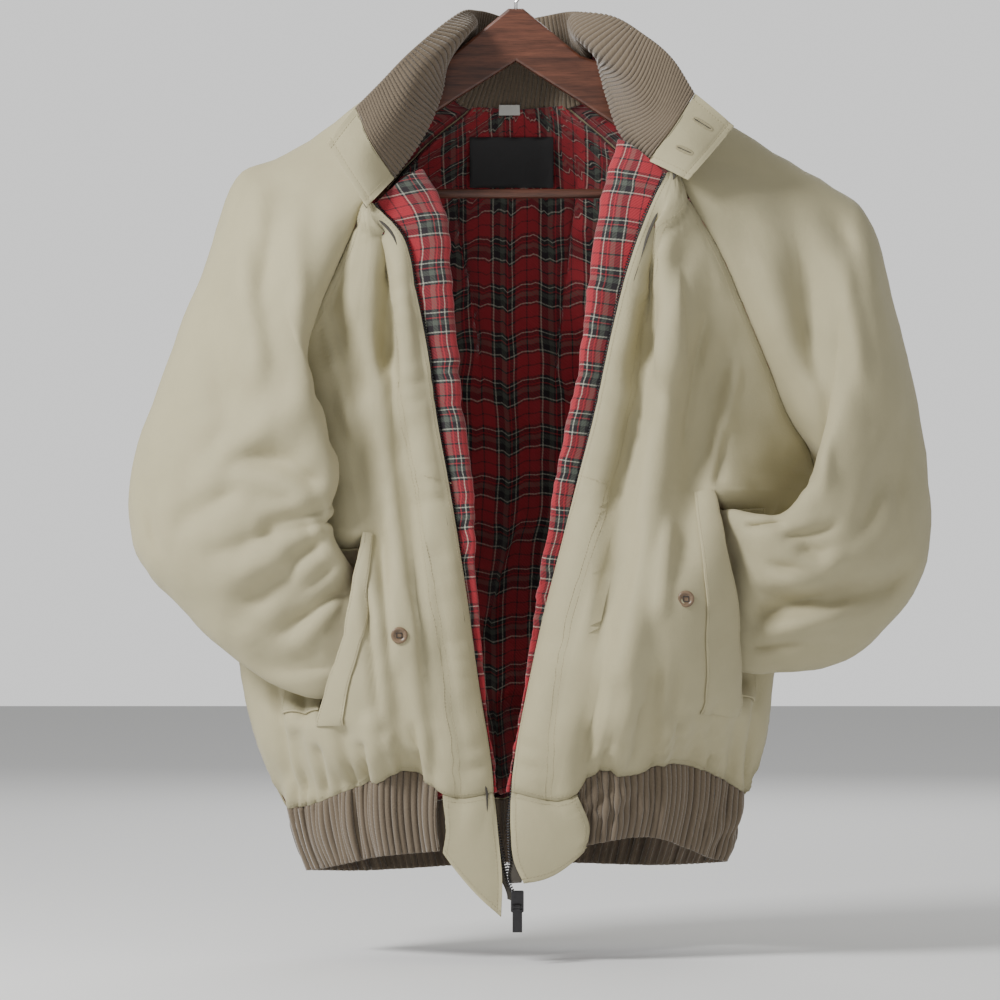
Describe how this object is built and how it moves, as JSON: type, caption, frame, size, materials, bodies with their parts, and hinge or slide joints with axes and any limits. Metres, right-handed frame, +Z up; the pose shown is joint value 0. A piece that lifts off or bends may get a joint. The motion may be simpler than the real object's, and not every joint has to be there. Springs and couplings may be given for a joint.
{
  "type": "zip-front bomber jacket on a wooden coat hanger",
  "caption": "Khaki raglan bomber jacket with ribbed collar, cuffs and waistband and a tartan quilted lining, hanging open on a wooden hanger with its sleeve ends in the front pockets.",
  "frame": {"origin": "the inner top of the hanger's hook, where a rail carries it", "axes": "+Z up; the jacket's front faces -Y; +X towards the wearer's left"},
  "size_m": [0.752, 0.2526, 0.9376],
  "materials": {
    "olive_khaki_poplin": "matt tight poplin with a faint sheen",
    "taupe_rib_knit": "ribbed wool knit",
    "red_tartan_lining": "brushed tartan, quilted",
    "brown_wood": "satin stain",
    "steel_wire": "polished wire",
    "dark_metal": "dark antique metal",
    "zip_tape": "woven tape",
    "brown_button": "horn-like, satin",
    "label_black": "black satin",
    "tag_white": "woven tape"
  },
  "bodies": {
    "jacket": {"back": "olive_khaki_poplin", "collar_rib": "taupe_rib_knit", "collar_tab_left": "olive_khaki_poplin", "collar_tab_right": "olive_khaki_poplin", "cuff_left": "taupe_rib_knit", "cuff_right": "taupe_rib_knit", "front_left": "olive_khaki_poplin", "front_right": "olive_khaki_poplin", "hanger_hook": "steel_wire", "hanger_wood": "brown_wood", "hem_block_left": "olive_khaki_poplin", "hem_block_right": "olive_khaki_poplin", "lining_back": "red_tartan_lining", "lining_front_left": "red_tartan_lining", "lining_front_right": "red_tartan_lining", "neck_label": "label_black", "pocket_button_left": "brown_button", "pocket_button_right": "brown_button", "pocket_flap_left": "olive_khaki_poplin", "pocket_flap_right": "olive_khaki_poplin", "pocket_welt_left": "olive_khaki_poplin", "pocket_welt_right": "olive_khaki_poplin", "size_tag": "tag_white", "sleeve_left": "olive_khaki_poplin", "sleeve_right": "olive_khaki_poplin", "waistband_rib": "taupe_rib_knit", "zip_slider": "dark_metal", "zip_tape_left": "zip_tape", "zip_tape_right": "zip_tape"},
    "zip_pull": {"zip_pull": "dark_metal"}
  },
  "joints": [
    {"name": "zip_pull_swing", "type": "hinge", "parent": "jacket", "child": "zip_pull", "pos_m": [0.001, -0.1255, -0.9104], "axis": [1, 0, 0], "range_deg": [-165, 10]}
  ]
}
